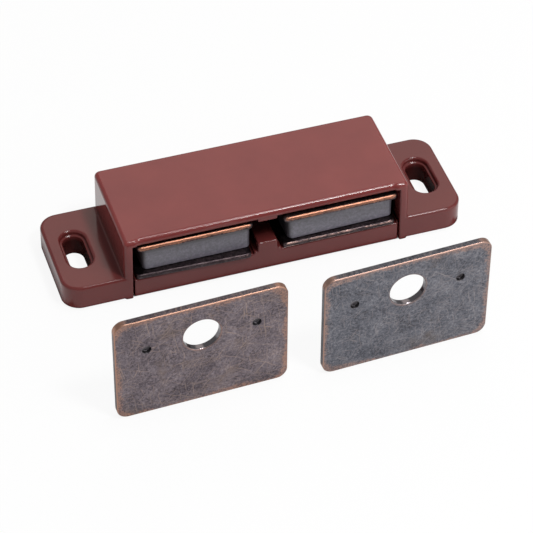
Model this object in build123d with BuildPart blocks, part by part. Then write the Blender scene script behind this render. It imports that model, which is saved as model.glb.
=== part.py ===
from build123d import *
import os
from math import radians, tan

# Double magnetic catch for a pair of cabinet doors, with the two strike plates that go on the
# doors. Units are millimetres. X runs along the catch, the pole faces look along -Y, and +Z
# points off the mounting face. The origin is the centre of the mounting face.

# ---------------------------------------------------------------- driving dimensions

# Pole plates: flat steel tees. The tongue shows at the front, the shoulders keep the unit in.
pole_width = 24.9
pole_depth = 20.5
pole_thickness = 1.2
pole_shoulder = 0.6
pole_shoulder_setback = 9.0
pole_corner_radius = 1.0
pole_edge_chamfer = 0.25

# Magnets: pressed ferrite blocks, one between each pair of pole plates.
magnet_depth = 15.0
magnet_height = 6.4
magnet_setback = 1.45
magnet_side_setback = 0.75
magnet_corner_radius = 1.3
magnet_edge_chamfer = 0.2

# Float: each magnet unit slides a little out of its bay and into it, to meet its strike squarely.
float_out = 0.6
float_in = 1.0
pole_stand_out = 0.2
left_unit_pushed_in = 0.2
right_unit_pulled_out = 0.3

# How the loose pieces of the magnet units lie in them: across, inwards, and turned in plan.
left_magnet_across = 0.7
right_magnet_across = 0.5
right_magnet_inward = 0.45
right_magnet_turn = 1.5
left_upper_plate_across = 0.15
left_lower_plate_outward = 0.25
left_lower_plate_turn = -1.8
right_lower_plate_inward = 0.6

# Room round the magnet units.
unit_to_rib_gap = 1.25
unit_to_post_gap = 0.8
unit_rear_gap = 0.9
unit_top_gap = 0.6
seat_clearance = 0.05
side_clearance = 0.4

# Case: a hollow block, open in front and below, with a slotted ear at each end.
post_width = 1.85
back_wall = 1.6
lip_height = 1.5
lip_setback = 0.35
lip_end_land = 0.4
lip_bend_length = 1.2
end_draft = 1.0
block_edge_radius = 0.8
block_back_corner_radius = 1.3
opening_edge_radius = 0.25
keeper_thickness = 1.6
divider_thickness = 2.0
ceiling_rib_height = 0.7
ceiling_rib_setback = 0.1

# Ears and their screw slots.
ear_thickness = 5.8
ear_corner_radius = 4.0
ear_edge_radius = 0.5
ear_foot_chamfer = 0.4
slot_to_block = 7.0
slot_to_ear_end = 5.6
slot_width = 4.5
slot_length = 10.2
slot_step = 0.5
slot_step_depth = 1.0
slot_rim_chamfer = 0.3
ear_wall = 1.8
ear_core_radius = 0.6

# Base insert: closes the case from below and seats the lower pole plates.
deck_height = 5.1
seat_depth = 0.5
rib_width = 4.1
rib_height = 2.25
rib_clearance = 0.2
base_end_gap = 0.45
base_front_setback = 0.3
base_back_gap = 0.15
base_edge_radius = 0.25
base_wall = 1.6
base_web = 1.2
base_deck_thickness = 1.5
core_radius = 0.5

# Snap barbs on the ends of the base insert, with grooves for them in the case.
barb_foot = 1.6
barb_height = 1.4
barb_length = 3.0
barb_spacing = 10.0
barb_bite = 0.4
barb_clearance = 0.15

# Strike plates.
strike_width = 35.7
strike_height = 25.4
strike_thickness = 1.6
strike_corner_radius = 2.3
strike_edge_chamfer = 0.2
strike_hole_diameter = 7.7
strike_hole_height = 17.65
dimple_diameter = 1.9
dimple_depth = 0.7
dimple_taper = 15
dimple_height = 17.35
dimple_spacing = 22.7
nib_height = 0.45
nib_taper = 40

# Where the strike plates rest in front of the catch, each turned a little in plan.
left_strike_x = -23.9
left_strike_stand_off = 29.95
left_strike_turn = 2.0
right_strike_x = 18.6
right_strike_stand_off = 30.35
right_strike_turn = 2.7

# ---------------------------------------------------------------- places worked out from them

unit_x = rib_width / 2 + unit_to_rib_gap + pole_width / 2
tongue_inner_x = unit_x - pole_width / 2
tongue_outer_x = unit_x + pole_width / 2
opening_half = tongue_outer_x + unit_to_post_gap
cavity_depth = pole_depth - pole_stand_out + float_in + unit_rear_gap
case_depth = cavity_depth + back_wall
case_front = -case_depth / 2
cavity_back = case_front + cavity_depth

pole_seat = deck_height - seat_depth
magnet_bottom = pole_seat + pole_thickness
magnet_top = magnet_bottom + magnet_height
magnet_width = pole_width - 2 * magnet_side_setback
ceiling = magnet_top + pole_thickness + unit_top_gap
case_height = ceiling + lip_height

opening_foot_half = opening_half + ceiling * tan(radians(end_draft))
block_half = opening_foot_half + post_width
slot_x = block_half + slot_to_block
ear_end = slot_x + slot_to_ear_end

pole_front = case_front - pole_stand_out
shoulder_front = pole_front + pole_shoulder_setback
keeper_back = shoulder_front - float_out
keeper_front = keeper_back - keeper_thickness

base_half = opening_foot_half - base_end_gap
base_front = case_front + base_front_setback
base_back = cavity_back - base_back_gap
seat_floor = pole_seat - seat_clearance

left_middle = pole_front + left_unit_pushed_in + pole_depth / 2
right_middle = pole_front - right_unit_pulled_out + pole_depth / 2
pole_places = {
    "upper_pole_plate_left": Location((left_upper_plate_across - unit_x, left_middle, magnet_top)),
    "upper_pole_plate_right": Location((unit_x, right_middle, magnet_top)),
    "lower_pole_plate_left": Location(
        (-unit_x, left_middle - left_lower_plate_outward, pole_seat), (0, 0, left_lower_plate_turn)
    ),
    "lower_pole_plate_right": Location((unit_x, right_middle + right_lower_plate_inward, pole_seat)),
}
magnet_inward = magnet_setback + (magnet_depth - pole_depth) / 2
magnet_places = {
    "magnet_left": Location((left_magnet_across - unit_x, left_middle + magnet_inward, magnet_bottom)),
    "magnet_right": Location(
        (unit_x + right_magnet_across, right_middle + magnet_inward + right_magnet_inward, magnet_bottom),
        (0, 0, right_magnet_turn),
    ),
}
left_strike_back = case_front - left_strike_stand_off
right_strike_back = case_front - right_strike_stand_off
strike_places = {
    "left": Location((left_strike_x, left_strike_back, 0), (0, 0, left_strike_turn)),
    "right": Location((right_strike_x, right_strike_back, 0), (0, 0, right_strike_turn)),
}

os.makedirs("parts", exist_ok=True)


def upright_edges(part):
    """The edges of a part that stand upright, drafted ones included."""
    return part.edges().filter_by(lambda edge: abs(edge.tangent_at(0.5).Z) > 0.9)


# ---------------------------------------------------------------- case

# The block: drafted end walls, rounded upright corners and top edges. Between the posts the
# front of the lip is set back, with a gentle bend at each end.
with BuildPart() as block:
    with BuildSketch(Plane.XZ):
        Trapezoid(2 * block_half, case_height, 90 - end_draft, align=(Align.CENTER, Align.MIN))
    extrude(amount=case_depth / 2, both=True)
    fillet(upright_edges(block).group_by(Axis.Y)[0], block_edge_radius)
    fillet(upright_edges(block).group_by(Axis.Y)[-1], block_back_corner_radius)

    bend_start = Vector(opening_half - lip_end_land, case_front)
    bend_middle = bend_start + Vector(-lip_bend_length / 2, lip_setback / 2)
    bend_end = bend_start + Vector(-lip_bend_length, lip_setback)
    with BuildSketch(Plane.XY.offset(case_height)):
        with BuildLine():
            Line((0, case_front), bend_start)
            entry = TangentArc(bend_start, bend_middle, tangent=(-1, 0))
            leave = TangentArc(entry @ 1, bend_end, tangent=entry % 1)
            Line(leave @ 1, (0, case_front + lip_setback))
            mirror(about=Plane.YZ)
        make_face()
    extrude(amount=-lip_height, mode=Mode.SUBTRACT)
    fillet(block.faces().sort_by(Axis.Z)[-1].edges(), block_edge_radius)

# The ears: one slab right across, rounded in plan. Each slot has a shallow step round its top,
# and two pockets are cored out of each ear from below.
with BuildPart() as ears:
    with BuildSketch(Plane.XY):
        RectangleRounded(2 * ear_end, case_depth, ear_corner_radius)
    extrude(amount=ear_thickness)
    fillet(ears.faces().sort_by(Axis.Z)[-1].edges(), ear_edge_radius)
    chamfer(ears.faces().sort_by(Axis.Z)[0].edges(), ear_foot_chamfer)

    with BuildSketch(Plane.XY.offset(ear_thickness)):
        with Locations((-slot_x, 0), (slot_x, 0)):
            SlotOverall(slot_length, slot_width, rotation=90)
    extrude(amount=-ear_thickness, mode=Mode.SUBTRACT)
    with BuildSketch(Plane.XY.offset(ear_thickness)):
        with Locations((-slot_x, 0), (slot_x, 0)):
            SlotOverall(slot_length + 2 * slot_step, slot_width + 2 * slot_step, rotation=90)
    extrude(amount=-slot_step_depth, mode=Mode.SUBTRACT)
    slot_rims = ears.faces().sort_by(Axis.Z)[-1].inner_wires()
    chamfer(slot_rims.edges(), slot_rim_chamfer)

    core_inner_x = block_half
    core_outer_x = ear_end - ear_wall
    core_inner_y = slot_length / 2 + ear_wall
    core_outer_y = case_depth / 2 - ear_wall
    with BuildSketch(Plane.XY):
        with GridLocations(core_inner_x + core_outer_x, core_inner_y + core_outer_y, 2, 2):
            RectangleRounded(core_outer_x - core_inner_x, core_outer_y - core_inner_y, ear_core_radius)
    extrude(amount=ear_thickness - ear_wall, mode=Mode.SUBTRACT)

# The case is the block on the slab, hollowed for the magnet units and the base insert.
with BuildPart() as case:
    add(ears.part)
    add(block.part)
    with BuildSketch(Plane.XZ.offset(-cavity_back)):
        Trapezoid(2 * opening_foot_half, ceiling, 90 - end_draft, align=(Align.CENTER, Align.MIN))
    extrude(amount=cavity_depth, mode=Mode.SUBTRACT)

    opening_edges = (
        case.edges()
        .filter_by_position(Axis.X, -opening_foot_half, opening_foot_half)
        .filter_by_position(Axis.Y, case_front, case_front + lip_setback)
        .filter_by_position(Axis.Z, 0, ceiling, inclusive=(False, True))
    )
    fillet(opening_edges, opening_edge_radius)

    # Keepers: the shoulders of the upper pole plates stop against these.
    keeper_inner_x = tongue_outer_x + side_clearance
    keeper_outer_x = opening_foot_half
    with BuildSketch(Plane.XY.offset(ceiling)):
        with GridLocations(keeper_inner_x + keeper_outer_x, 0, 2, 1):
            with Locations((0, keeper_front)):
                Rectangle(keeper_outer_x - keeper_inner_x, keeper_thickness, align=(Align.CENTER, Align.MIN))
    extrude(amount=deck_height + rib_clearance - ceiling)

    # Divider: a tee between the bays, whose wings are the inner keepers.
    keeper_wing = tongue_inner_x - side_clearance
    with BuildSketch(Plane.XY.offset(ceiling)):
        with Locations((0, keeper_front)):
            Rectangle(2 * keeper_wing, keeper_thickness, align=(Align.CENTER, Align.MIN))
            Rectangle(divider_thickness, cavity_back - keeper_front, align=(Align.CENTER, Align.MIN))
    extrude(amount=deck_height + rib_height + rib_clearance - ceiling)

    # A low rib stiffens the ceiling from the lip back to the divider.
    rib_start = case_front + lip_setback + ceiling_rib_setback
    with BuildSketch(Plane.XY.offset(ceiling)):
        with Locations((0, rib_start)):
            Rectangle(rib_width, keeper_front - rib_start, align=(Align.CENTER, Align.MIN))
    extrude(amount=-ceiling_rib_height)

    # Grooves in the end walls for the barbs of the base insert.
    groove_inner_x = opening_half
    groove_outer_x = opening_foot_half + barb_bite + barb_clearance
    with BuildSketch(Plane.XY.offset(barb_foot - barb_clearance)):
        with GridLocations(groove_inner_x + groove_outer_x, barb_spacing, 2, 2):
            Rectangle(groove_outer_x - groove_inner_x, barb_length + 2 * barb_clearance)
    extrude(amount=barb_height + 2 * barb_clearance, mode=Mode.SUBTRACT)

case.part.label = "case"
export_step(case.part, "parts/case.step")

# ---------------------------------------------------------------- base insert

with BuildPart() as base:
    base_depth = base_back - base_front
    with BuildSketch(Plane.XZ.offset(-base_back)):
        Trapezoid(2 * base_half, deck_height, 90 - end_draft, align=(Align.CENTER, Align.MIN))
    extrude(amount=base_depth)
    with BuildSketch(Plane.XY.offset(deck_height)):
        with Locations((0, base_front)):
            Rectangle(rib_width, base_depth, align=(Align.CENTER, Align.MIN))
    extrude(amount=rib_height)

    # Seats for the lower pole plates: tees open at the front, with their shoulders in line with
    # the keepers. Their backs stop the float inwards.
    seat_back = pole_front + pole_depth + float_in
    with BuildSketch(Plane.XY.offset(deck_height)):
        with Locations((-unit_x, base_front), (unit_x, base_front)):
            Rectangle(
                pole_width + 2 * side_clearance,
                seat_back - base_front,
                align=(Align.CENTER, Align.MIN),
            )
        with Locations((-unit_x, keeper_back), (unit_x, keeper_back)):
            Rectangle(
                pole_width + 2 * pole_shoulder + 2 * side_clearance,
                seat_back - keeper_back,
                align=(Align.CENTER, Align.MIN),
            )
    extrude(amount=seat_floor - deck_height, mode=Mode.SUBTRACT)

    # Pockets cored out from below leave a skirt, a middle web and a grid of thin webs.
    columns, rows = 3, 2
    field_length = base_half - base_wall - rib_width / 2
    field_depth = base_depth - 2 * base_wall
    cell_length = (field_length - (columns - 1) * base_web) / columns
    cell_depth = (field_depth - (rows - 1) * base_web) / rows
    field_x = rib_width / 2 + field_length / 2
    field_y = (base_front + base_back) / 2
    with BuildSketch(Plane.XY):
        with Locations((-field_x, field_y), (field_x, field_y)):
            with GridLocations(cell_length + base_web, cell_depth + base_web, columns, rows):
                RectangleRounded(cell_length, cell_depth, core_radius)
    extrude(amount=seat_floor - base_deck_thickness, mode=Mode.SUBTRACT)

    front_foot = base.edges().filter_by(Axis.X).group_by(Axis.Z)[0].sort_by(Axis.Y)[0]
    fillet(front_foot, base_edge_radius)

    # Barbs: sloped above to ride in, flat below to hold.
    barb_root = base_half - base_wall / 2
    barb_tip = opening_foot_half + barb_bite
    for barb_y in (-barb_spacing / 2, barb_spacing / 2):
        with BuildSketch(Plane.XZ.offset(-barb_y)):
            with BuildLine():
                Polyline(
                    (barb_root, barb_foot),
                    (barb_tip, barb_foot),
                    (base_half, barb_foot + barb_height),
                    (barb_root, barb_foot + barb_height),
                    close=True,
                )
            make_face()
            mirror(about=Plane.YZ)
        extrude(amount=barb_length / 2, both=True)

base.part.label = "base_insert"
export_step(base.part, "parts/base_insert.step")

# ---------------------------------------------------------------- magnet units

with BuildPart() as pole_plate:
    with BuildSketch():
        Rectangle(pole_width, pole_depth)
        with Locations((0, pole_depth / 2)):
            Rectangle(
                pole_width + 2 * pole_shoulder,
                pole_depth - pole_shoulder_setback,
                align=(Align.CENTER, Align.MAX),
            )
    extrude(amount=pole_thickness)
    fillet(upright_edges(pole_plate).group_by(Axis.Y)[0], pole_corner_radius)
    fillet(upright_edges(pole_plate).group_by(Axis.Y)[-1], pole_corner_radius)
    chamfer(pole_plate.faces().sort_by(Axis.Z)[-1].edges(), pole_edge_chamfer)
    chamfer(pole_plate.faces().sort_by(Axis.Z)[0].edges(), pole_edge_chamfer)

with BuildPart() as magnet:
    with BuildSketch():
        RectangleRounded(magnet_width, magnet_depth, magnet_corner_radius)
    extrude(amount=magnet_height)
    chamfer(magnet.faces().sort_by(Axis.Z)[-1].edges(), magnet_edge_chamfer)
    chamfer(magnet.faces().sort_by(Axis.Z)[0].edges(), magnet_edge_chamfer)

for piece, places in ((pole_plate, pole_places), (magnet, magnet_places)):
    for label, place in places.items():
        laid = piece.part.moved(place)
        laid.label = label
        export_step(laid, f"parts/{label}.step")

# ---------------------------------------------------------------- strike plates

# Each plate stands on its long edge in front of the catch. The pressed dimples stand out at the
# back as nibs.
for side, strike_place in strike_places.items():
    back_face = Plane(strike_place * Plane.XZ.location)
    front_face = back_face.offset(strike_thickness)
    with BuildPart() as strike:
        with BuildSketch(back_face):
            with Locations((0, strike_height / 2)):
                RectangleRounded(strike_width, strike_height, strike_corner_radius)
            with Locations((0, strike_hole_height)):
                Circle(strike_hole_diameter / 2, mode=Mode.SUBTRACT)
        extrude(amount=strike_thickness)
        broad_faces = strike.faces().sort_by(SortBy.AREA)[-2:]
        chamfer(broad_faces.edges(), strike_edge_chamfer)

        with BuildSketch(back_face):
            with Locations((0, dimple_height)):
                with GridLocations(dimple_spacing, 0, 2, 1):
                    Circle(dimple_diameter / 2)
        extrude(amount=-nib_height, taper=nib_taper)
        with BuildSketch(front_face):
            with Locations((0, dimple_height)):
                with GridLocations(dimple_spacing, 0, 2, 1):
                    Circle(dimple_diameter / 2)
        extrude(amount=-dimple_depth, taper=dimple_taper, mode=Mode.SUBTRACT)
    strike.part.label = f"strike_plate_{side}"
    export_step(strike.part, f"parts/strike_plate_{side}.step")
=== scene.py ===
"""Looks for the double magnetic catch: camera, stage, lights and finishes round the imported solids."""

import math

import bmesh
import bpy
from mathutils import Matrix, Vector


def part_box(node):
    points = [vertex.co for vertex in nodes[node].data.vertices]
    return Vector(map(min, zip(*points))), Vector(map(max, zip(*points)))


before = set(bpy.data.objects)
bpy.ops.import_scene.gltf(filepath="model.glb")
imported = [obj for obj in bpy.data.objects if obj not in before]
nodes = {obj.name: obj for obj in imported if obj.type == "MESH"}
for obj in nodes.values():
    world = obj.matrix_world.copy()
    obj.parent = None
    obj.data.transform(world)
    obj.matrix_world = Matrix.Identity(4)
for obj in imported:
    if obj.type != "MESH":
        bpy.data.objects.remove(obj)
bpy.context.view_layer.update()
scene = bpy.context.scene
scene.view_settings.view_transform = "Standard"
MM = 0.001
X, Y, Z = 0, 1, 2

# ---------------------------------------------------------------- small tools


def linear(hex_colour):
    """An sRGB hex colour as a linear RGBA tuple."""
    channels = [int(hex_colour[i : i + 2], 16) / 255 for i in (1, 3, 5)]
    return (*(c / 12.92 if c <= 0.04045 else ((c + 0.055) / 1.055) ** 2.4 for c in channels), 1.0)


def add_node(tree, kind, inputs=None, **settings):
    """Adds one shader node. Inputs go by socket identifier, and each is a value, the socket that feeds it,
    or a node whose first output feeds it."""
    node = tree.nodes.new(kind)
    for name, value in settings.items():
        setattr(node, name, value)
    sockets = {socket.identifier: socket for socket in node.inputs}
    for name, value in (inputs or {}).items():
        if isinstance(value, bpy.types.Node):
            value = value.outputs[0]
        if isinstance(value, bpy.types.NodeSocket):
            tree.links.new(value, sockets[name])
        else:
            sockets[name].default_value = value
    return node


def new_material(name):
    """A node material, its tree, and the socket that gives a point's place on the piece."""
    material = bpy.data.materials.new(name)
    material.use_nodes = True
    tree = material.node_tree
    tree.nodes.clear()
    return material, tree, add_node(tree, "ShaderNodeTexCoord").outputs["Object"]


def set_stops(ramp, stops):
    """Sets a colour ramp's stops from (position, colour) pairs, and gives its colour socket."""
    elements = ramp.color_ramp.elements
    while len(elements) < len(stops):
        elements.new(1.0)
    for element, (position, colour) in zip(elements, stops):
        element.position = position
        element.color = linear(colour)
    return ramp.outputs["Color"]


def lay_over(tree, ground, layers):
    """Lays hex colours over a ground colour one after another, each by its own amount."""
    colour_result = 2
    for amount, colour in layers:
        layer = {"Factor_Float": amount, "A_Color": ground, "B_Color": linear(colour)}
        ground = add_node(tree, "ShaderNodeMix", layer, data_type="RGBA").outputs[colour_result]
    return ground


def outside(tree, place, half_x, half_y, fade):
    """Zero on a rectangle about the origin, rising to one at a distance of fade from it."""
    folded = add_node(tree, "ShaderNodeVectorMath", {"Vector": place}, operation="ABSOLUTE")
    beyond = add_node(
        tree,
        "ShaderNodeVectorMath",
        {"Vector": folded, "Vector_001": (half_x, half_y, 0)},
        operation="SUBTRACT",
    )
    ways = add_node(tree, "ShaderNodeSeparateXYZ", {"Vector": beyond}).outputs
    clear = add_node(
        tree, "ShaderNodeMath", {"Value": ways[X], "Value_001": ways[Y]}, operation="MAXIMUM"
    )
    return add_node(tree, "ShaderNodeMapRange", {"Value": clear, "From Max": fade})


def facing(tree, axis, start, full):
    """How squarely a face looks along an axis, either way: zero at the cosine start, and one at full."""
    normal = add_node(tree, "ShaderNodeNewGeometry").outputs["True Normal"]
    folded = add_node(tree, "ShaderNodeVectorMath", {"Vector": normal}, operation="ABSOLUTE")
    along = add_node(tree, "ShaderNodeSeparateXYZ", {"Vector": folded}).outputs[axis]
    return add_node(tree, "ShaderNodeMapRange", {"Value": along, "From Min": start, "From Max": full})


def cover(material, *names):
    """Gives CAD nodes a finish in place of their plain one."""
    for name in names:
        mesh = nodes[name].data
        mesh.materials.clear()
        mesh.materials.append(material)


# ---------------------------------------------------------------- camera

CAMERA_AZIMUTH = math.radians(-18.277)
CAMERA_ELEVATION = math.radians(43.525)
CAMERA_ROLL = math.radians(0.368)
CAMERA_DISTANCE = 0.55876
CAMERA_LENS_MM = 177.57
CAMERA_SENSOR_MM = 36
AIM_ACROSS = 0.003343
AIM_UP = -0.007413

camera_data = bpy.data.cameras.new("camera")
camera_data.lens = CAMERA_LENS_MM
camera_data.sensor_width = CAMERA_SENSOR_MM
camera = bpy.data.objects.new("camera", camera_data)
scene.collection.objects.link(camera)
turn = (
    Matrix.Rotation(CAMERA_AZIMUTH, 4, "Z")
    @ Matrix.Rotation(math.pi / 2 - CAMERA_ELEVATION, 4, "X")
    @ Matrix.Rotation(CAMERA_ROLL, 4, "Z")
)
camera.matrix_world = turn @ Matrix.Translation((AIM_ACROSS, AIM_UP, CAMERA_DISTANCE))
scene.camera = camera

# ---------------------------------------------------------------- stage and light

FLOOR_HALF = 1.5
FLOOR_DROP = 0.05 * MM
CARD_WHITE = "#f2f2f2"
CARD_SHADE = "#000000"
# how far the camera sees the card lifted to plain white, all round the block's foot
SEEN_LIFT = 0.9
FOOT_FADE = 0.3 * MM
# how far shiny faces see it lifted in front, and where along the case's half length it turns white
FRONT_SHINE = 0.15
BESIDE_START = 0.7
BESIDE_FULL = 1.1
SHINE_FADE = 2.5 * MM
# how far shiny faces see it darkened under the catch
UNDER_SHADE = 0.9
SHADE_FADE = 1 * MM
SKY_LEVEL = 0.36


def white_card():
    """Matt white card. The camera sees it as plain white, and shiny faces see it white behind the catch and
    at its right end, and greyer in front. Under the block nothing lifts it, so the joints round the base
    insert stay dark, and under the whole catch shiny faces see it in the catch's own shade."""
    material, tree, place = new_material("matt_white_card")
    case_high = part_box("case")[1]
    base_low, base_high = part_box("base_insert")
    rays = add_node(tree, "ShaderNodeLightPath").outputs

    view = add_node(
        tree, "ShaderNodeMapRange", {"Value": rays["Is Camera Ray"], "To Max": SEEN_LIFT}
    )
    off_block = outside(tree, place, base_high[X], -base_low[Y] - FOOT_FADE, FOOT_FADE)
    seen = add_node(
        tree, "ShaderNodeMath", {"Value": view, "Value_001": off_block}, operation="MULTIPLY"
    )

    spot = add_node(tree, "ShaderNodeSeparateXYZ", {"Vector": place}).outputs
    behind = add_node(
        tree,
        "ShaderNodeMapRange",
        {"Value": spot[Y], "From Min": -case_high[Y], "From Max": 0.0},
    )
    beside = add_node(
        tree,
        "ShaderNodeMapRange",
        {
            "Value": spot[X],
            "From Min": BESIDE_START * case_high[X],
            "From Max": BESIDE_FULL * case_high[X],
        },
    )
    open_side = add_node(
        tree, "ShaderNodeMath", {"Value": behind, "Value_001": beside}, operation="MAXIMUM"
    )
    level = add_node(tree, "ShaderNodeMapRange", {"Value": open_side, "To Min": FRONT_SHINE})
    shine = add_node(
        tree,
        "ShaderNodeMath",
        {"Value": rays["Is Glossy Ray"], "Value_001": level},
        operation="MULTIPLY",
    )
    off_catch = outside(tree, place, case_high[X], case_high[Y], SHINE_FADE)
    mirrored = add_node(
        tree, "ShaderNodeMath", {"Value": shine, "Value_001": off_catch}, operation="MULTIPLY"
    )
    lift = add_node(
        tree, "ShaderNodeMath", {"Value": seen, "Value_001": mirrored}, operation="MAXIMUM"
    )

    uncovered = outside(tree, place, case_high[X], case_high[Y], SHADE_FADE)
    covered = add_node(
        tree, "ShaderNodeMapRange", {"Value": uncovered, "To Min": UNDER_SHADE, "To Max": 0.0}
    )
    shade = add_node(
        tree,
        "ShaderNodeMath",
        {"Value": rays["Is Glossy Ray"], "Value_001": covered},
        operation="MULTIPLY",
    )
    tone = lay_over(tree, linear(CARD_WHITE), [(shade, CARD_SHADE)])
    card = add_node(tree, "ShaderNodeBsdfDiffuse", {"Color": tone})
    white = add_node(tree, "ShaderNodeEmission", {"Color": (1, 1, 1, 1), "Strength": 1.0})
    both = add_node(
        tree, "ShaderNodeMixShader", {"Fac": lift, "Shader": card, "Shader_001": white}
    )
    add_node(tree, "ShaderNodeOutputMaterial", {"Surface": both})
    return material


def make_floor():
    """A wide card just under the mounting face."""
    shape = bmesh.new()
    bmesh.ops.create_grid(shape, x_segments=1, y_segments=1, size=FLOOR_HALF)
    bmesh.ops.translate(shape, verts=shape.verts, vec=(0, 0, -FLOOR_DROP))
    mesh = bpy.data.meshes.new("floor")
    shape.to_mesh(mesh)
    shape.free()
    mesh.materials.append(white_card())
    floor = bpy.data.objects.new("floor", mesh)
    scene.collection.objects.link(floor)


def make_sky():
    """Even white surroundings, dim for the light they give and white where the camera sees them."""
    world = bpy.data.worlds.new("studio")
    world.use_nodes = True
    tree = world.node_tree
    tree.nodes.clear()
    rays = add_node(tree, "ShaderNodeLightPath").outputs
    level = add_node(
        tree, "ShaderNodeMapRange", {"Value": rays["Is Camera Ray"], "To Min": SKY_LEVEL}
    )
    sky = add_node(tree, "ShaderNodeBackground", {"Color": (1, 1, 1, 1), "Strength": level})
    add_node(tree, "ShaderNodeOutputWorld", {"Surface": sky})
    scene.world = world


def soft_box(name, direction, distance, size, watts, colour="#ffffff"):
    """A square soft box that faces the object from a direction."""
    light = bpy.data.lights.new(name, "AREA")
    light.shape = "SQUARE"
    light.size = size
    light.energy = watts
    light.color = linear(colour)[:3]
    box = bpy.data.objects.new(name, light)
    toward = Vector(direction).normalized()
    aim = toward.to_track_quat("Z", "Y").to_matrix().to_4x4()
    box.matrix_world = Matrix.Translation(toward * distance) @ aim
    scene.collection.objects.link(box)


make_floor()
make_sky()
soft_box("overhead_box", (0.24, 0.02, 1.0), distance=0.9, size=0.25, watts=1.9)
soft_box("right_high_box", (0.285, -0.45, 0.9), distance=0.8, size=0.13, watts=2.7)
soft_box("back_box", (0.33, 0.75, 0.72), distance=1.0, size=0.5, watts=0.85, colour="#fff2ea")
soft_box("front_box", (0.8, -0.75, 0.35), distance=0.4, size=0.34, watts=0.4)

# ---------------------------------------------------------------- moulded plastic

ABS_STOPS = [(0.3, "#773433"), (0.7, "#803937")]
ABS_CLOUD = 9 * MM
ABS_FLOW = 2.5 * MM
ABS_EASING = 0.6 * MM
# painted shade: the colour is darker on the ears and the base than on the block
PAINTED_SHADE_LOW_LEVEL = 0.66
PAINTED_SHADE_LOW_HEIGHT = 6 * MM
PAINTED_SHADE_FULL_HEIGHT = 15 * MM
# painted shade in the mouth, from its ceiling down
MOUTH_PAINTED_SHADE_LEVEL = 0.3
MOUTH_SIDE = 3 * MM
MOUTH_HALF_DEPTH = 8.5 * MM
MOUTH_FADE = 3 * MM
SHADED_BELOW_TOP = 1.7 * MM
UNSHADED_BELOW_TOP = 1.1 * MM
# painted shade in the slots, from under their step down
SLOT_PAINTED_SHADE_LEVEL = 0.4
EAR_RIM = 3 * MM
EAR_RIM_FADE = 1 * MM
SLOT_SHADED_HEIGHT = 3.6 * MM
SLOT_UNSHADED_HEIGHT = 4.4 * MM


def moulded_plastic():
    """Gloss ABS, red brown right through, moulded in a polished tool, with painted shade inside the mouth
    and the slots, and painted shade low down on the ears and the base. The eye gets a deep colour under a
    clear even shine, which goes dark round the magnets and in the slots. Edges are eased a little beyond the
    solid's own rounding, so that their shine shows."""
    material, tree, place = new_material("gloss_moulded_abs")
    cloud = add_node(
        tree, "ShaderNodeTexNoise", {"Vector": place, "Scale": 1 / ABS_CLOUD, "Detail": 4.0}
    )
    tint = set_stops(add_node(tree, "ShaderNodeValToRGB", {"Fac": cloud}), ABS_STOPS)

    height = add_node(tree, "ShaderNodeSeparateXYZ", {"Vector": place}).outputs[Z]
    # painted shade: the colour is scaled darker low down, on the ears and the base
    painted_shade_rise = add_node(
        tree,
        "ShaderNodeMapRange",
        {"Value": height, "From Min": PAINTED_SHADE_LOW_HEIGHT, "From Max": PAINTED_SHADE_FULL_HEIGHT, "To Min": PAINTED_SHADE_LOW_LEVEL},
    )

    case_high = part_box("case")[1]
    mouth_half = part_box("base_insert")[1][X] - MOUTH_SIDE
    # painted shade: inside the mouth, below its ceiling, the colour is darkened
    off_mouth = outside(tree, place, mouth_half, MOUTH_HALF_DEPTH, MOUTH_FADE)
    over_mouth = add_node(
        tree,
        "ShaderNodeMapRange",
        {
            "Value": height,
            "From Min": case_high[Z] - SHADED_BELOW_TOP,
            "From Max": case_high[Z] - UNSHADED_BELOW_TOP,
        },
    )
    unshaded_case = add_node(
        tree, "ShaderNodeMath", {"Value": off_mouth, "Value_001": over_mouth}, operation="MAXIMUM"
    )
    mouth_painted_shade = add_node(tree, "ShaderNodeMapRange", {"Value": unshaded_case, "To Min": MOUTH_PAINTED_SHADE_LEVEL})

    # painted shade: inside the slots, below their step, the colour is darkened
    on_rim = outside(tree, place, case_high[X] - EAR_RIM, case_high[Y] - EAR_RIM, EAR_RIM_FADE)
    over_slot = add_node(
        tree,
        "ShaderNodeMapRange",
        {"Value": height, "From Min": SLOT_SHADED_HEIGHT, "From Max": SLOT_UNSHADED_HEIGHT},
    )
    unshaded_ear = add_node(
        tree, "ShaderNodeMath", {"Value": on_rim, "Value_001": over_slot}, operation="MAXIMUM"
    )
    slot_painted_shade = add_node(tree, "ShaderNodeMapRange", {"Value": unshaded_ear, "To Min": SLOT_PAINTED_SHADE_LEVEL})

    # painted shade of the mouth and the slots together
    painted_shade = add_node(
        tree, "ShaderNodeMath", {"Value": mouth_painted_shade, "Value_001": slot_painted_shade}, operation="MULTIPLY"
    )
    level = add_node(
        tree, "ShaderNodeMath", {"Value": painted_shade_rise, "Value_001": painted_shade}, operation="MULTIPLY"
    )
    colour = add_node(
        tree, "ShaderNodeVectorMath", {"Vector": tint, "Scale": level}, operation="SCALE"
    )

    flow = add_node(
        tree, "ShaderNodeTexNoise", {"Vector": place, "Scale": 1 / ABS_FLOW, "Detail": 3.0}
    )
    eased = add_node(tree, "ShaderNodeBevel", {"Radius": ABS_EASING}, samples=16)
    bump = add_node(
        tree,
        "ShaderNodeBump",
        {"Strength": 0.04, "Distance": 0.04 * MM, "Height": flow, "Normal": eased},
    )
    skin = add_node(
        tree,
        "ShaderNodeBsdfPrincipled",
        {"Base Color": colour, "Roughness": 0.12, "IOR": 1.42, "Normal": bump},
    )
    add_node(tree, "ShaderNodeOutputMaterial", {"Surface": skin})
    return material


# ---------------------------------------------------------------- blackened and worn plate

PLATE_CLOUD = 5 * MM
PLATE_GRAIN = 0.5 * MM
CLOUD_SHARE = 0.35
PLATE_CONTRAST = 0.2
WEAR_WANDER = 6 * MM
WEAR_NIBBLE = 0.6 * MM
WEAR_SPREAD = 0.22


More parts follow.
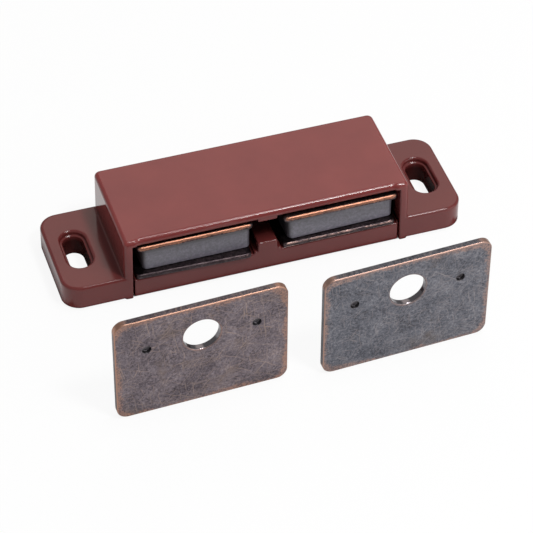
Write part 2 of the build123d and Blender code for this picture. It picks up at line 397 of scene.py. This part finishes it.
def rubbed_rim(tree, place, depth, least, most, fade):
    """One where plate is rubbed bare along a rim, in a band whose ragged edge wanders between two widths."""
    wide = add_node(
        tree, "ShaderNodeTexNoise", {"Vector": place, "Scale": 1 / WEAR_WANDER, "Detail": 1.0}
    )
    small = add_node(
        tree,
        "ShaderNodeTexNoise",
        {"Vector": place, "Scale": 1 / WEAR_NIBBLE, "Detail": 4.0, "Roughness": 0.7},
    )
    both = add_node(tree, "ShaderNodeMath", {"Value": wide, "Value_001": small}, operation="ADD")
    width = add_node(
        tree,
        "ShaderNodeMapRange",
        {
            "Value": both,
            "From Min": 1 - WEAR_SPREAD,
            "From Max": 1 + WEAR_SPREAD,
            "To Min": least,
            "To Max": most,
        },
    )
    beyond = add_node(
        tree, "ShaderNodeMath", {"Value": depth, "Value_001": width}, operation="SUBTRACT"
    )
    return add_node(
        tree, "ShaderNodeMapRange", {"Value": beyond, "From Max": fade, "To Min": 1.0, "To Max": 0.0}
    )


def blackened(tree, place, stops):
    """The blackened plate between its worn places: large soft clouds with a fine salt and pepper grain. The
    real grain is finer, and is drawn as coarse as it needs to show."""
    cloud = add_node(
        tree,
        "ShaderNodeTexNoise",
        {"Vector": place, "Scale": 1 / PLATE_CLOUD, "Detail": 3.0, "Roughness": 0.6},
    )
    grain = add_node(
        tree,
        "ShaderNodeTexNoise",
        {"Vector": place, "Scale": 1 / PLATE_GRAIN, "Detail": 4.0, "Roughness": 0.9},
    )
    patch = add_node(
        tree,
        "ShaderNodeMath",
        {"Value": cloud, "Value_001": CLOUD_SHARE, "Value_002": grain},
        operation="MULTIPLY_ADD",
    )
    middle = (CLOUD_SHARE + 1) / 2
    spread = add_node(
        tree,
        "ShaderNodeMapRange",
        {"Value": patch, "From Min": middle - PLATE_CONTRAST, "From Max": middle + PLATE_CONTRAST},
    )
    return set_stops(add_node(tree, "ShaderNodeValToRGB", {"Fac": spread}), stops), grain


def metal(tree, colour, grain, easing, low_roughness, high_roughness, roughness_share=1.0):
    """Closes a metal finish: a satin shine that follows the grain, and edges eased by tumbling. Where
    roughness_share is under one the metal is smoother."""
    satin = add_node(
        tree,
        "ShaderNodeMapRange",
        {"Value": grain, "To Min": low_roughness, "To Max": high_roughness},
    )
    rough = add_node(
        tree, "ShaderNodeMath", {"Value": satin, "Value_001": roughness_share}, operation="MULTIPLY"
    )
    eased = add_node(tree, "ShaderNodeBevel", {"Radius": easing}, samples=8)
    bump = add_node(
        tree,
        "ShaderNodeBump",
        {"Strength": 0.2, "Distance": 0.02 * MM, "Height": grain, "Normal": eased},
    )
    skin = add_node(
        tree,
        "ShaderNodeBsdfPrincipled",
        {"Base Color": colour, "Metallic": 1.0, "Roughness": rough, "Normal": bump},
    )
    add_node(tree, "ShaderNodeOutputMaterial", {"Surface": skin})


# ---------------------------------------------------------------- strike plates

IN_PLATE = (1, 0, 1)
STRIKE_EASING = 0.25 * MM
# painted shade on the plate's narrow edge faces
STRIKE_SIDE_SHADE_LEVEL = 0.62
# rounded corners, which wear first
STRIKE_CORNER = 2.3 * MM
CORNER_WEAR = 1.1 * MM
CORNER_START = -1.5 * MM
CORNER_FULL = 1.0 * MM
CORNER_SIDE_FROM = -0.9 * MM
CORNER_SIDE_TO = -0.3 * MM
# dark specks left in the worn rim
SPECK_FROM = 0.42
SPECK_TO = 0.56
SPECK_LEAST = 0.1
SPECK_MOST = 0.85
# screw hole, with a smoother wall
HOLE_RADIUS = 3.85 * MM
HOLE_HEIGHT = 17.65 * MM
HOLE_RING = 0.35
HOLE_GREY = "#8f8a8e"
HOLE_WALL_FROM = 0.02 * MM
HOLE_WALL_TO = 0.08 * MM
HOLE_ROUGHNESS = 0.45
# pair of dimples, coloured a plain dark grey as painted shade in them
DIMPLE_RADIUS = 0.95 * MM
DIMPLE_HEIGHT = 17.35 * MM
DIMPLE_SPACING = 22.7 * MM
DIMPLE_SHADE_GREY = "#6a666a"
DIMPLE_EDGE_FROM = -0.05 * MM
DIMPLE_EDGE_TO = 0.1 * MM
# brown stains and scratches
STAIN_SIZE = 7 * MM
STAIN_SOFTNESS = 0.2
STAIN_MOST = 0.8
SCRATCH_TURNS = (8, 52, 97, 150)
SCRATCH_LENGTH = 5 * MM
SCRATCH_WIDTH = 0.14 * MM
SCRATCH_START = 0.715
SCRATCH_SOFTNESS = 0.08
SCRATCH_MOST = 0.5
SCRATCH_BENDS = 3 * MM
SCRATCH_DRIFT = 1.2 * MM

STRIKE_TONES = {
    "strike_plate_left": {
        "stops": [(0.0, "#3c363a"), (0.5, "#6e656b"), (1.0, "#9b9095")],
        "stain": "#776860",
        "stain_start": 0.55,
        "copper": "#ac8573",
        "scratch": "#b09a8e",
    },
    "strike_plate_right": {
        "stops": [(0.0, "#3b3b41"), (0.5, "#6a6b73"), (1.0, "#96959b")],
        "stain": "#6c625c",
        "stain_start": 0.58,
        "copper": "#a98a7e",
        "scratch": "#a39a9a",
    },
}


def depth_in_outline(tree, place, low, high):
    """How far a point lies inside a strike plate's rounded outline, seen from the front. Towards a corner it
    counts as nearer the outline, because corners wear first."""
    core = (high - low) / 2 - Vector((STRIKE_CORNER, 0, STRIKE_CORNER))
    moved = add_node(
        tree,
        "ShaderNodeVectorMath",
        {"Vector": place, "Vector_001": (low + high) / 2},
        operation="SUBTRACT",
    )
    folded = add_node(tree, "ShaderNodeVectorMath", {"Vector": moved}, operation="ABSOLUTE")
    past = add_node(
        tree, "ShaderNodeVectorMath", {"Vector": folded, "Vector_001": core}, operation="SUBTRACT"
    )
    flat = add_node(
        tree, "ShaderNodeVectorMath", {"Vector": past, "Vector_001": IN_PLATE}, operation="MULTIPLY"
    )
    rounded = add_node(
        tree, "ShaderNodeVectorMath", {"Vector": flat, "Vector_001": (0, 0, 0)}, operation="MAXIMUM"
    )
    bent = add_node(tree, "ShaderNodeVectorMath", {"Vector": rounded}, operation="LENGTH")
    ways = add_node(tree, "ShaderNodeSeparateXYZ", {"Vector": past}).outputs
    most = add_node(
        tree, "ShaderNodeMath", {"Value": ways[X], "Value_001": ways[Z]}, operation="MAXIMUM"
    )
    straight = add_node(
        tree, "ShaderNodeMath", {"Value": most, "Value_001": 0.0}, operation="MINIMUM"
    )
    total = add_node(
        tree,
        "ShaderNodeMath",
        {"Value": bent.outputs["Value"], "Value_001": straight},
        operation="ADD",
    )
    depth = add_node(
        tree, "ShaderNodeMath", {"Value": STRIKE_CORNER, "Value_001": total}, operation="SUBTRACT"
    )
    least = add_node(
        tree, "ShaderNodeMath", {"Value": ways[X], "Value_001": ways[Z]}, operation="MINIMUM"
    )
    nearer = add_node(
        tree,
        "ShaderNodeMapRange",
        {"Value": least, "From Min": CORNER_START, "From Max": CORNER_FULL, "To Max": CORNER_WEAR},
    )
    return add_node(
        tree, "ShaderNodeMath", {"Value": depth, "Value_001": nearer}, operation="SUBTRACT"
    )


def from_round(tree, place, middle, radius, spacing=0.0):
    """How far a point lies outside a round feature of a strike plate, or outside the nearer of a spaced
    pair."""
    moved = add_node(
        tree, "ShaderNodeVectorMath", {"Vector": place, "Vector_001": middle}, operation="SUBTRACT"
    )
    folded = add_node(tree, "ShaderNodeVectorMath", {"Vector": moved}, operation="ABSOLUTE")
    nearer = add_node(
        tree,
        "ShaderNodeVectorMath",
        {"Vector": folded, "Vector_001": (spacing / 2, 0, 0)},
        operation="SUBTRACT",
    )
    flat = add_node(
        tree, "ShaderNodeVectorMath", {"Vector": nearer, "Vector_001": IN_PLATE}, operation="MULTIPLY"
    )
    away = add_node(tree, "ShaderNodeVectorMath", {"Vector": flat}, operation="LENGTH")
    return add_node(
        tree,
        "ShaderNodeMath",
        {"Value": away.outputs["Value"], "Value_001": radius},
        operation="SUBTRACT",
    )


def scuffs(tree, place):
    """Short scratches that bend a little, one set for each turn about the plate's normal. Real ones are
    finer, and these are drawn as wide as they need to show."""
    drift = add_node(
        tree, "ShaderNodeTexNoise", {"Vector": place, "Scale": 1 / SCRATCH_BENDS, "Detail": 1.0}
    )
    push = add_node(
        tree,
        "ShaderNodeVectorMath",
        {"Vector": drift.outputs["Color"], "Scale": SCRATCH_DRIFT},
        operation="SCALE",
    )
    bent = add_node(
        tree, "ShaderNodeVectorMath", {"Vector": place, "Vector_001": push}, operation="ADD"
    )
    stretch = (1 / SCRATCH_LENGTH, 1 / SCRATCH_LENGTH, 1 / SCRATCH_WIDTH)
    total = 0.0
    for degrees in SCRATCH_TURNS:
        laid = add_node(
            tree, "ShaderNodeMapping", {"Vector": bent, "Rotation": (0, math.radians(degrees), 0)}
        )
        drawn = add_node(
            tree, "ShaderNodeVectorMath", {"Vector": laid, "Vector_001": stretch}, operation="MULTIPLY"
        )
        field = add_node(tree, "ShaderNodeTexNoise", {"Vector": drawn, "Scale": 1.0, "Detail": 0.0})
        line = add_node(
            tree,
            "ShaderNodeMapRange",
            {
                "Value": field,
                "From Min": SCRATCH_START,
                "From Max": SCRATCH_START + SCRATCH_SOFTNESS,
                "To Max": SCRATCH_MOST,
            },
        )
        total = add_node(
            tree, "ShaderNodeMath", {"Value": total, "Value_001": line}, operation="MAXIMUM"
        )
    return total


def antique_strike(node, stops, stain, stain_start, copper, scratch):
    """Copper plate over steel, blackened in a bath and tumbled with others, so that it is rubbed back along
    its rim and scuffed all over. The eye gets a dark mottled metal, fine hair lines and a warm worn edge."""
    material, tree, place = new_material("antique_copper_" + node)
    low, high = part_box(node)
    across, through = ((low[axis] + high[axis]) / 2 for axis in (X, Y))
    body, grain = blackened(tree, place, stops)

    cloud = add_node(
        tree,
        "ShaderNodeTexNoise",
        {"Vector": place, "Scale": 1 / STAIN_SIZE, "Detail": 5.0, "Roughness": 0.65},
    )
    stained = add_node(
        tree,
        "ShaderNodeMapRange",
        {
            "Value": cloud,
            "From Min": stain_start,
            "From Max": stain_start + STAIN_SOFTNESS,
            "To Max": STAIN_MOST,
        },
    )

    broad = facing(tree, Y, start=0.3, full=0.5)
    sloped = facing(tree, Y, start=0.95, full=0.8)
    depth = depth_in_outline(tree, place, Vector(low), Vector(high))
    band = rubbed_rim(tree, place, depth, least=-0.1 * MM, most=1.1 * MM, fade=0.6 * MM)
    speckled = add_node(
        tree,
        "ShaderNodeMapRange",
        {
            "Value": grain,
            "From Min": SPECK_FROM,
            "From Max": SPECK_TO,
            "To Min": SPECK_LEAST,
            "To Max": SPECK_MOST,
        },
    )
    worn = add_node(
        tree, "ShaderNodeMath", {"Value": band, "Value_001": speckled}, operation="MULTIPLY"
    )
    near = rubbed_rim(tree, place, depth, least=0.2 * MM, most=0.4 * MM, fade=0.1 * MM)
    ridge = add_node(
        tree, "ShaderNodeMath", {"Value": near, "Value_001": sloped}, operation="MULTIPLY"
    )
    rim = add_node(
        tree, "ShaderNodeMath", {"Value": worn, "Value_001": ridge}, operation="MAXIMUM"
    )
    corner = add_node(
        tree,
        "ShaderNodeMapRange",
        {
            "Value": depth,
            "From Min": CORNER_SIDE_FROM,
            "From Max": CORNER_SIDE_TO,
            "To Min": 1.0,
            "To Max": 0.0,
        },
    )
    reach = add_node(
        tree, "ShaderNodeMath", {"Value": broad, "Value_001": corner}, operation="MAXIMUM"
    )
    bare = add_node(
        tree, "ShaderNodeMath", {"Value": rim, "Value_001": reach}, operation="MULTIPLY"
    )

    hole = from_round(tree, place, (across, through, HOLE_HEIGHT), HOLE_RADIUS)
    ring = rubbed_rim(tree, place, hole, least=0.1 * MM, most=0.35 * MM, fade=0.15 * MM)
    half_ring = add_node(
        tree, "ShaderNodeMath", {"Value": ring, "Value_001": HOLE_RING}, operation="MULTIPLY"
    )
    wall = add_node(
        tree,
        "ShaderNodeMapRange",
        {
            "Value": hole,
            "From Min": HOLE_WALL_FROM,
            "From Max": HOLE_WALL_TO,
            "To Min": 1.0,
            "To Max": 0.0,
        },
    )
    polish = add_node(
        tree, "ShaderNodeMapRange", {"Value": wall, "To Min": 1.0, "To Max": HOLE_ROUGHNESS}
    )
    dimple = from_round(tree, place, (across, through, DIMPLE_HEIGHT), DIMPLE_RADIUS, DIMPLE_SPACING)
    # painted shade: the dimples are coloured a plain dark grey
    sunk_shade = add_node(
        tree,
        "ShaderNodeMapRange",
        {
            "Value": dimple,
            "From Min": DIMPLE_EDGE_FROM,
            "From Max": DIMPLE_EDGE_TO,
            "To Min": 1.0,
            "To Max": 0.0,
        },
    )

    layers = [
        (stained, stain),
        (scuffs(tree, place), scratch),
        (bare, copper),
        (half_ring, copper),
        (wall, HOLE_GREY),
        (sunk_shade, DIMPLE_SHADE_GREY),
    ]
    # painted shade: the narrow edge faces, away from the worn corners, are darkened
    side = add_node(tree, "ShaderNodeMapRange", {"Value": reach, "To Min": STRIKE_SIDE_SHADE_LEVEL})
    colour = add_node(
        tree,
        "ShaderNodeVectorMath",
        {"Vector": lay_over(tree, body, layers), "Scale": side},
        operation="SCALE",
    )
    metal(
        tree,
        colour,
        grain,
        easing=STRIKE_EASING,
        low_roughness=0.34,
        high_roughness=0.5,
        roughness_share=polish,
    )
    return material


for strike, tones in STRIKE_TONES.items():
    cover(antique_strike(strike, **tones), strike)

# ---------------------------------------------------------------- pole plates

POLE_STOPS = [(0.0, "#2c2526"), (0.5, "#514446"), (1.0, "#8a7572")]
# painted shade: the lower plates' body is a darker copy of the upper plates', for the shade they sit in
LOW_POLE_SHADED_STOPS = [(0.0, "#241d1e"), (0.5, "#40373a"), (1.0, "#6b5c5e")]
POLE_COPPER = "#b07a62"
LOW_POLE_COPPER = "#b8988f"
POLE_RIM_FADE = 0.12 * MM
FRONT_STEEPNESS = 1.6
POLE_EASING = 0.35 * MM
POLE_SPECK_FROM = 0.38
POLE_SPECK_TO = 0.52
POLE_SPECK_LEAST = 0.4


def antique_pole(node, stops, copper, least, most, sheltered=0.0):
    """The same plate on a pole. Its front is where the strike claps against it, so its two front edges are
    worn, the lower one less where it is sheltered. The eye gets a warm bright line under the lip, and two
    thin ones along the base."""
    material, tree, place = new_material("antique_copper_" + node)
    body, grain = blackened(tree, place, stops)
    low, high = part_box(node)
    ways = add_node(tree, "ShaderNodeSeparateXYZ", {"Vector": place}).outputs
    back = add_node(
        tree, "ShaderNodeMath", {"Value": ways[Y], "Value_001": low[Y]}, operation="SUBTRACT"
    )
    down = add_node(
        tree, "ShaderNodeMath", {"Value": high[Z], "Value_001": ways[Z]}, operation="SUBTRACT"
    )
    up = add_node(
        tree,
        "ShaderNodeMath",
        {"Value": ways[Z], "Value_001": low[Z] - sheltered},
        operation="SUBTRACT",
    )
    nearer = add_node(
        tree, "ShaderNodeMath", {"Value": down, "Value_001": up}, operation="MINIMUM"
    )
    depth = add_node(
        tree,
        "ShaderNodeMath",
        {"Value": back, "Value_001": FRONT_STEEPNESS, "Value_002": nearer},
        operation="MULTIPLY_ADD",
    )
    rim = rubbed_rim(tree, place, depth, least, most, POLE_RIM_FADE)
    speckled = add_node(
        tree,
        "ShaderNodeMapRange",
        {
            "Value": grain,
            "From Min": POLE_SPECK_FROM,
            "From Max": POLE_SPECK_TO,
            "To Min": POLE_SPECK_LEAST,
        },
    )
    bare = add_node(
        tree, "ShaderNodeMath", {"Value": rim, "Value_001": speckled}, operation="MULTIPLY"
    )
    colour = lay_over(tree, body, [(bare, copper)])
    metal(tree, colour, grain, easing=POLE_EASING, low_roughness=0.3, high_roughness=0.45)
    return material


for side in ("left", "right"):
    upper = "upper_pole_plate_" + side
    lower = "lower_pole_plate_" + side
    cover(
        antique_pole(
            upper, POLE_STOPS, POLE_COPPER, least=0.35 * MM, most=0.75 * MM, sheltered=0.9 * MM
        ),
        upper,
    )
    # the lower plate's darker body is painted shade
    cover(
        antique_pole(lower, LOW_POLE_SHADED_STOPS, LOW_POLE_COPPER, least=0.14 * MM, most=0.34 * MM), lower
    )

# ---------------------------------------------------------------- magnets

FERRITE_STOPS = [(0.3, "#4f4d55"), (0.5, "#64616c"), (0.7, "#7c7884")]
FERRITE_GRAIN = 0.7 * MM
# painted shadow of the upper plate on the magnet's face, a dark ragged band under it
PAINTED_SHADOW = "#2c2829"
PAINTED_SHADOW_MOST = 0.6
PAINTED_SHADOW_FROM = 1.1 * MM
PAINTED_SHADOW_TO = 0.7 * MM
PAINTED_SHADOW_RAGGED = 1.6 * MM
# painted light: the magnet's lowest part is brightened
PAINTED_FOOT_LIGHT = 1.5
PAINTED_FOOT_LIGHT_HEIGHT = 2.0 * MM
# painted shade: the magnet's end faces are darkened
END_SHADE_LEVEL = 0.3


def ground_ferrite():
    """Pressed ferrite, ground on its faces, with a painted shadow of the upper plate as a dark ragged band
    under it, painted light on its foot and painted shade on its ends. The eye gets a dull slate grey with a
    sandy grain, which is drawn coarser than the real grit so that it shows."""
    material, tree, place = new_material("ground_ferrite")
    grain = add_node(
        tree,
        "ShaderNodeTexNoise",
        {"Vector": place, "Scale": 1 / FERRITE_GRAIN, "Detail": 5.0, "Roughness": 0.75},
    )
    tint = set_stops(add_node(tree, "ShaderNodeValToRGB", {"Fac": grain}), FERRITE_STOPS)
    low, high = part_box("magnet_left")
    height = add_node(tree, "ShaderNodeSeparateXYZ", {"Vector": place}).outputs[Z]
    # painted shadow: a dark band with a ragged lower edge just under the upper plate
    shadow_edge = add_node(
        tree,
        "ShaderNodeMath",
        {"Value": grain, "Value_001": PAINTED_SHADOW_RAGGED, "Value_002": height},
        operation="MULTIPLY_ADD",
    )
    band = add_node(
        tree,
        "ShaderNodeMapRange",
        {
            "Value": shadow_edge,
            "From Min": high[Z] - PAINTED_SHADOW_FROM,
            "From Max": high[Z] - PAINTED_SHADOW_TO,
            "To Max": PAINTED_SHADOW_MOST,
        },
    )
    body = lay_over(tree, tint, [(band, PAINTED_SHADOW)])
    # painted light: the magnet's colour is brightened towards its foot
    lift = add_node(
        tree,
        "ShaderNodeMapRange",
        {
            "Value": height,
            "From Min": low[Z],
            "From Max": low[Z] + PAINTED_FOOT_LIGHT_HEIGHT,
            "To Min": PAINTED_FOOT_LIGHT,
        },
    )
    # painted shade: faces looking along the magnet's length are darkened
    end = facing(tree, X, start=0.3, full=0.9)
    end_shade = add_node(tree, "ShaderNodeMapRange", {"Value": end, "To Min": 1.0, "To Max": END_SHADE_LEVEL})
    level = add_node(
        tree, "ShaderNodeMath", {"Value": lift, "Value_001": end_shade}, operation="MULTIPLY"
    )
    colour = add_node(
        tree, "ShaderNodeVectorMath", {"Vector": body, "Scale": level}, operation="SCALE"
    )
    bump = add_node(
        tree, "ShaderNodeBump", {"Strength": 0.3, "Distance": 0.03 * MM, "Height": grain}
    )
    skin = add_node(
        tree,
        "ShaderNodeBsdfPrincipled",
        {"Base Color": colour, "Roughness": 0.5, "IOR": 1.9, "Normal": bump},
    )
    add_node(tree, "ShaderNodeOutputMaterial", {"Surface": skin})
    return material


cover(ground_ferrite(), "magnet_left", "magnet_right")
cover(moulded_plastic(), "case", "base_insert")
